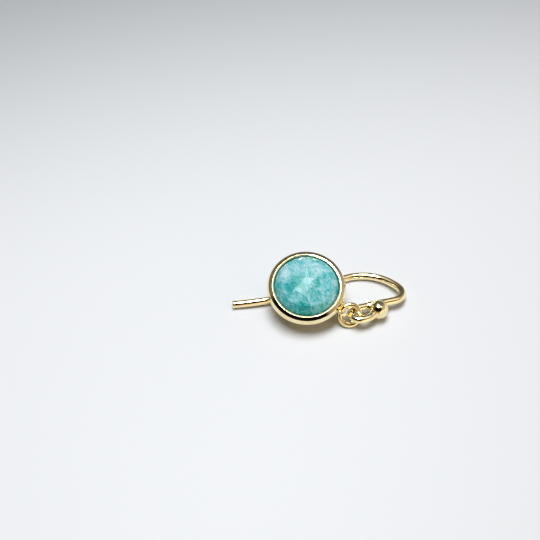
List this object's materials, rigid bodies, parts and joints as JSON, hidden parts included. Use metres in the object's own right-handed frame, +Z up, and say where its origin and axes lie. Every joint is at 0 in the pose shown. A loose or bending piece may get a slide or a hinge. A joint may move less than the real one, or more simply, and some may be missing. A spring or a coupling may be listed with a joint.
{
  "type": "dangle earring",
  "caption": "Gold dangle earring lying flat: a hook wire with a soldered ball, a jump ring and a round setting with a faceted green-blue stone.",
  "frame": {"origin": "middle of the whole earring's box, on the surface that it lies on", "axes": "+X along the hook from its cut tail to its bend, +Z up from the surface, +Y from the end loop towards the far side of the hook"},
  "size_m": [0.0198, 0.0096, 0.0053],
  "materials": {
    "gold_setting": "polished gold plate",
    "gold_ring": "polished gold plate",
    "gold_wire": "polished gold plate",
    "stone": "polished milky green-blue stone with flat facets"
  },
  "bodies": {
    "root": {"bezel_cup": "gold_setting", "stone": "stone", "jump_ring": "gold_ring", "ear_hook": "gold_wire"}
  },
  "joints": []
}
